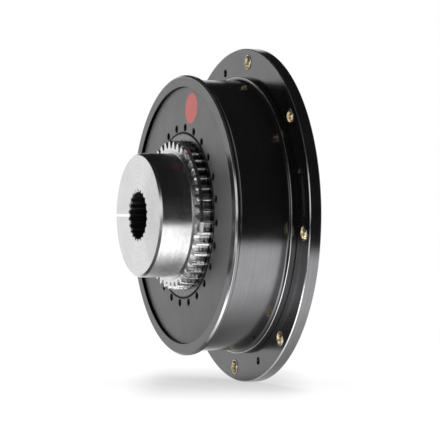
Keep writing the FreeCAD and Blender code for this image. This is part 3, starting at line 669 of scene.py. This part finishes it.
gear_middle = (gear_front + gear_rear) / 2
gear_half = (gear_front - gear_rear) / 2
crown_steps = 10
crowned_tip = []
for step in range(crown_steps + 1):
    along = 2 * step / crown_steps - 1
    crowned_tip.append((gear_tip - tip_crown * along ** 2,
                        gear_middle + along * (gear_half - tooth_chamfer), 0))
hub = new_object("hub_cut", spin_round(outline_of([
    (spline_tip + bore_chamfer, hub_rear, 0),
    (shoulder_radius, hub_rear, drum_break),
    (shoulder_radius, gear_rear, 0),
    (gear_tip - tip_crown - tooth_chamfer, gear_rear, 0),
    *crowned_tip,
    (gear_tip - tip_crown - tooth_chamfer, gear_front, 0),
    (boss_radius, gear_front, boss_fillet),
    (boss_radius, hub_front - boss_chamfer, 0.2 * mm),
    (boss_radius - boss_chamfer, hub_front, 0.2 * mm),
    (spline_tip + bore_chamfer, hub_front, 0.1 * mm),
    (spline_tip, hub_front - bore_chamfer, 0),
    (spline_tip, hub_rear + bore_chamfer, 0),
]), gear_teeth * 8))


def hub_half(radius):
    """Half the angle of a space between the hub's teeth at a radius."""
    return math.pi / gear_teeth - tooth_half(radius, gear_teeth, gear_pitch, gear_angle)


def tooth_ground(gap):
    """Crown the flanks and tips that a tooth space leaves, both falling away to the ends."""
    for vert in gap.verts:
        along = (-vert.co.x - gear_middle) / gear_half
        vert.co.y += math.copysign(flank_crown * along ** 2, vert.co.y)
        if vert.co.z > gear_tip - 2 * tip_round:
            vert.co.z -= tip_crown * along ** 2
    return gap


hub_sides = [(radius, hub_half(radius))
             for radius in flank_points(gear_root, gear_tip - tip_round, 6)]
for turn in (0.25, 0.6, 0.9):
    hub_sides.append((gear_tip - tip_round * (1 - turn), hub_half(gear_tip) + tip_round
                      / gear_tip * (1 - math.sqrt(1 - turn ** 2))))
hub_sides.append((gear_tip + tip_round, hub_half(gear_tip) + 2 * tip_round / gear_tip))
hub_gap = tooth_ground(gap_cutter(hub_sides, 0.4 * mm, gear_rear - 1 * mm, gear_front + 1 * mm,
                                  12))
cut_away(hub, clocked(repeat_round(hub_gap, gear_teeth), gear_clock))


def spline_half(radius):
    """Half the angle of a space of the splined bore at a radius."""
    return tooth_half(radius, spline_teeth, spline_pitch, spline_angle)


spline_sides = [(radius, spline_half(radius))
                for radius in flank_points(spline_root, spline_tip - 1 * mm, 5)]
spline_gap = gap_cutter(spline_sides, 0.35 * mm, hub_rear - 1 * mm, hub_front + 1 * mm, 1)
cut_away(hub, repeat_round(spline_gap, spline_teeth))

slot = bmesh.new()
bmesh.ops.create_cube(slot, size=1)
slot_reach = boss_radius + 1 * mm - spline_pitch
bmesh.ops.scale(slot, verts=slot.verts[:], vec=(slot_length + 1 * mm, slot_reach, slot_width))
bmesh.ops.translate(slot, verts=slot.verts[:], vec=(
    -(hub_front - slot_length / 2 + 0.5 * mm), spline_pitch + slot_reach / 2, 0))
cut_away(hub, slot)


def bore_along_z(radius, low, high):
    """A round cutter across the slot, where the clamping screw stands."""
    bm = bmesh.new()
    bmesh.ops.create_cone(bm, cap_ends=True, segments=56, radius1=radius, radius2=radius,
                          depth=high - low)
    bmesh.ops.translate(bm, verts=bm.verts[:],
                        vec=(-clamp_station, clamp_offset, (low + high) / 2))
    return bm


cut_away(hub, bore_along_z(clamp_pocket, clamp_seat, boss_radius))
cut_away(hub, bore_along_z(clamp_shank + 0.4 * mm, 0, clamp_seat + 1 * mm))
cut_away(hub, bore_along_z(clamp_shank, -25.5 * mm, 0.5 * mm))
smooth_faces(hub)

steel, steel_shader, steel_place = new_finish("bright_steel", (0.82, 0.82, 0.825), 0.2, 1.0)
steel_marks = lathe_marks(steel_place, 0.22 * mm, 3.0)
steel_bands = lathe_marks(steel_place, 1.6 * mm, 3.0)
steel_patches = noise(steel_place, 15 * mm, 4.0, 0.6)
# Painted shade: dark inside the splined bore, behind its chamfer.
spline_bore_shade = (ramp(radial(steel_place), 19.1 * mm, 19.3 * mm, 1.0, 0.0)
           * ramp(axial(steel_place), bore_chamfer - hub_front, 1.5 * mm - hub_front))
on_teeth = ramp(radial(steel_place), 46.4 * mm, 47.6 * mm)
scuffs = ramp(noise(steel_place, 0.9 * mm, 2.0), 0.6, 0.72)
steel_colour = blend(ramp(steel_bands * 0.5 + steel_patches * 0.5, 0.35, 0.65),
                     (0.74, 0.74, 0.75, 1), (0.84, 0.84, 0.842, 1))
steel_colour = blend(on_teeth * 0.5, steel_colour, (0.86, 0.865, 0.87, 1))
steel_colour = blend(scuffs * on_teeth * 0.5, steel_colour, (0.4, 0.4, 0.4, 1))
steel_colour = blend(spline_bore_shade * 0.95, steel_colour, (0.07, 0.065, 0.06, 1))
feed(steel_shader, "Base Color", steel_colour)
feed(steel_shader, "Roughness", ramp(steel_patches * 0.4 + steel_marks * 0.6, 0.3, 0.7,
                                     0.16, 0.27) + spline_bore_shade * 0.2)
ground_edge = (ramp(radial(steel_place), boss_radius - boss_chamfer,
                    boss_radius - boss_chamfer + 0.2 * mm)
               * ramp(axial(steel_place), boss_chamfer - hub_front - 0.2 * mm,
                      boss_chamfer - hub_front, 1.0, 0.0))
feed(steel_shader, "Normal",
     turned_normal(steel_place, 0.42 - on_teeth * 0.2 - ground_edge * 0.34))
hub.data.materials.append(steel)
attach(hub, "hub")
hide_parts("hub")

# Clamping screw: a socket head screw with black oxide and a knurled head, seated in the
# pocket of the boss. It draws the slot together on the shaft.
clamp_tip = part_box("clamp_screw")[0].z
clamp_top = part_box("clamp_screw")[1].z
clamp_head = 8.0 * mm
clamp_flats = 8.0 * mm
clamp_socket = 5.0 * mm
knurl_count = 48

screw_bm = outline_of([
    (0, clamp_tip, 0),
    (clamp_shank - 0.8 * mm, clamp_tip, 0),
    (clamp_shank, clamp_tip + 0.8 * mm, 0),
    (clamp_shank, clamp_seat, 0),
    (clamp_head, clamp_seat, 0.2 * mm),
    (clamp_head, clamp_top - 0.8 * mm, 0.2 * mm),
    (clamp_head - 0.8 * mm, clamp_top, 0.2 * mm),
    (0, clamp_top, 0),
])
spin_round(screw_bm, 96)
clamp = new_object("clamp_screw_black", screw_bm)
knurl = gap_cutter([(clamp_head - 0.22 * mm, 0.002), (clamp_head + 0.3 * mm, 0.05)],
                   0, clamp_seat + 1 * mm, clamp_top - 1.2 * mm, 1)
cut_away(clamp, repeat_round(knurl, knurl_count))
key = hexagon_key(clamp_flats, clamp_socket)
bmesh.ops.translate(key, verts=key.verts[:], vec=(-clamp_top, 0, 0))
cut_away(clamp, key)
clamp.data.transform(Matrix.Translation((-clamp_station, clamp_offset, 0))
                     @ Matrix.Rotation(math.pi / 2, 4, "Y"))
smooth_faces(clamp)
clamp.data.materials.append(oxide)
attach(clamp, "hub")
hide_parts("clamp_screw")

# Studio: a white floor and a white background, with soft lamps above and behind. What the
# metal mirrors is a white wall low behind the coupling and dark room above and in front.
floor_size = 12.0
bm = bmesh.new()
bmesh.ops.create_grid(bm, x_segments=4, y_segments=4, size=floor_size / 2)
bmesh.ops.translate(bm, verts=bm.verts[:], vec=(0, 0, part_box("flange_plate")[0].z))
floor = new_object("floor", bm)

camera_side = Vector((-0.3953, -0.9186, 0))
floor_material = bpy.data.materials.new("floor")
floor_material.use_nodes = True
floor_material.cycles.emission_sampling = "NONE"
floor_nodes = floor_material.node_tree.nodes
floor_nodes.clear()
floor_place = Signal(floor_nodes.new("ShaderNodeTexCoord").outputs["Object"])
rays = floor_nodes.new("ShaderNodeLightPath").outputs
toward_camera = floor_place.node("ShaderNodeVectorMath", {"operation": "DOT_PRODUCT"},
                                 {0: floor_place, 1: camera_side}, "Value")
plan = floor_place.node("ShaderNodeVectorMath", {"operation": "MULTIPLY"},
                        {0: floor_place, 1: (1, 1, 0)})
reach = plan.node("ShaderNodeVectorMath", {"operation": "LENGTH"}, {0: plan}, "Value")
# What metal mirrors of the floor is painted by place: a painted shadow under the coupling and behind
# the hub, painted light in front and at the right, darker at the left and beyond the far edge, and a
# lighter pool at the front left.
under = plan.node("ShaderNodeVectorMath", {"operation": "DISTANCE"},
                  {0: plan, 1: (-0.05, 0, 0)}, "Value")
leftward = 0 - axial(floor_place)
in_front = ramp(toward_camera, 0.04, 0.12) * ramp(leftward, 0.2, 0.34, 1.0, 0.0)
near_left = ramp(leftward, 0.34, 0.5, 1.0, 0.0)
pool = plan.node("ShaderNodeVectorMath", {"operation": "DISTANCE"},
                 {0: plan, 1: (-0.41, -0.324, 0)}, "Value")
left_flag = (ramp(leftward, 0.1, 0.15) * ramp(toward_camera, -0.12, -0.04) * ramp(pool, 0.1, 0.24)
             * near_left.maths("MAXIMUM", near_left, ramp(toward_camera - leftward * 0.6, -0.1, 0.0)))
far_edge = ramp(toward_camera - leftward * 0.7, 0.24, 0.4, 1.0, 0.0)
behind_hub = plan.node("ShaderNodeVectorMath", {"operation": "DISTANCE"},
                       {0: plan, 1: (-0.12, 0.07, 0)}, "Value")
right_floor = ramp(leftward, -0.6, -0.42, 1.0, 0.0) * ramp(toward_camera, 0.3, 0.5, 1.0, 0.0)
brightness = (ramp(under, 0.0, 0.1, 0.2, 1.0) * ramp(behind_hub, 0.0, 0.1, 0.1, 1.0) * far_edge
              * (0.85 + in_front * 1.35) * (1 - left_flag * 0.94)
              + right_floor * 0.8 + 0.02)
lit = floor_place.node("ShaderNodeBsdfDiffuse", {}, {"Color": (0.8, 0.8, 0.8, 1)})
across = floor_place.node("ShaderNodeVectorMath", {"operation": "DOT_PRODUCT"},
                          {0: floor_place, 1: (0.9186, -0.3953, 0)}, "Value")
# Painted shadow: a broad soft shade on the floor around the coupling, longest towards the camera.
painted_floor_shadow = band(toward_camera, 0.01, 0.08, 0.2) * band(across, -0.024, 0.036, 0.036)
lift = floor_place.node("ShaderNodeEmission", {}, {"Color": (1, 1, 1, 1),
                                                   "Strength": 0.79 - painted_floor_shadow * 0.19})
plain = floor_place.node("ShaderNodeEmission", {}, {"Color": (1, 1, 1, 1), "Strength": 1.0})
shaded = floor_place.node("ShaderNodeBsdfDiffuse", {}, {"Color": (0.25, 0.25, 0.25, 1)})
shown = lit.node("ShaderNodeAddShader", {}, {0: shaded, 1: lift})
shown = lit.node("ShaderNodeMixShader", {}, {0: ramp(reach, 0.45, 0.9), 1: shown, 2: plain})
mirrored = lit.node("ShaderNodeEmission", {}, {"Strength": brightness})
seen = lit.node("ShaderNodeMixShader", {}, {0: Signal(rays["Is Camera Ray"]), 1: lit,
                                            2: shown})
seen = lit.node("ShaderNodeMixShader", {}, {0: Signal(rays["Is Glossy Ray"]), 1: seen,
                                            2: mirrored})
floor_output = floor_nodes.new("ShaderNodeOutputMaterial")
floor_material.node_tree.links.new(seen.socket, floor_output.inputs["Surface"])
floor.data.materials.append(floor_material)

world = bpy.data.worlds.new("studio")
bpy.context.scene.world = world
world.use_nodes = True
world.cycles.sampling_method = "NONE"
world_nodes = world.node_tree.nodes
background = world_nodes["Background"]
background.inputs["Color"].default_value = (1, 1, 1, 1)
heading = Signal(world_nodes.new("ShaderNodeTexCoord").outputs["Generated"])
rays = world_nodes.new("ShaderNodeLightPath").outputs
parts = heading.node("ShaderNodeSeparateXYZ", {}, {0: heading}).socket.node.outputs
rise = Signal(parts["Z"])
leftward = 0.0 - Signal(parts["X"])
backward = heading.node("ShaderNodeVectorMath", {"operation": "DOT_PRODUCT"},
                        {0: heading, 1: -camera_side}, "Value")
wall = ramp(rise, 0.3, 0.42, 1.0, 0.0) * ramp(backward, -0.25, 0.1)
panel = ramp(leftward, 0.75, 0.9) * ramp(rise, 0.26, 0.4, 1.0, 0.0)
right_side = ramp(leftward, -0.65, -0.52, 1.0, 0.0)
mirrored_light = wall.maths("MAXIMUM", wall, panel)
mirrored_light = wall.maths("MAXIMUM", mirrored_light, right_side) * 0.88 + 0.012
is_camera = Signal(rays["Is Camera Ray"])
is_glossy = Signal(rays["Is Glossy Ray"]) + Signal(rays["Is Transmission Ray"])
ambient = 0.6
level = is_camera + is_glossy * mirrored_light + (1 - is_camera - is_glossy) * ambient
world.node_tree.links.new(level.socket, background.inputs["Strength"])


def soft_lamp(name, place, size, power, mirrored):
    """A square lamp that looks at the coupling."""
    light = bpy.data.lights.new(name, "AREA")
    light.shape = "SQUARE"
    light.size = size
    light.energy = power
    lamp = bpy.data.objects.new(name, light)
    lamp.location = place
    lamp.rotation_euler = (-Vector(place)).to_track_quat("-Z", "Y").to_euler()
    lamp.visible_glossy = mirrored
    bpy.context.scene.collection.objects.link(lamp)


soft_lamp("lamp_above", (0.0, 0.3, 1.3), 0.8, 9.0, False)
soft_lamp("lamp_left", (-1.3, -0.6, 0.7), 0.8, 3.5, False)

view_yaw = math.radians(66.714)
camera_distance = 2.2314
camera_lens = 251.3
sight_left = math.radians(0.6116)
sight_down = math.radians(0.0879)
camera = bpy.data.cameras.new("camera")
camera.sensor_width = 36.0
camera.lens = camera_lens
camera.clip_start = 0.1
camera.clip_end = 50.0
camera_object = bpy.data.objects.new("camera", camera)
sight = Vector((math.cos(view_yaw), math.sin(view_yaw), 0))
camera_object.location = -sight * camera_distance
sight = Matrix.Rotation(sight_left, 3, "Z") @ sight
sight.z = -math.tan(sight_down)
camera_object.rotation_euler = sight.to_track_quat("-Z", "Y").to_euler()
bpy.context.scene.collection.objects.link(camera_object)
bpy.context.scene.camera = camera_object
bpy.context.scene.view_settings.view_transform = "Standard"
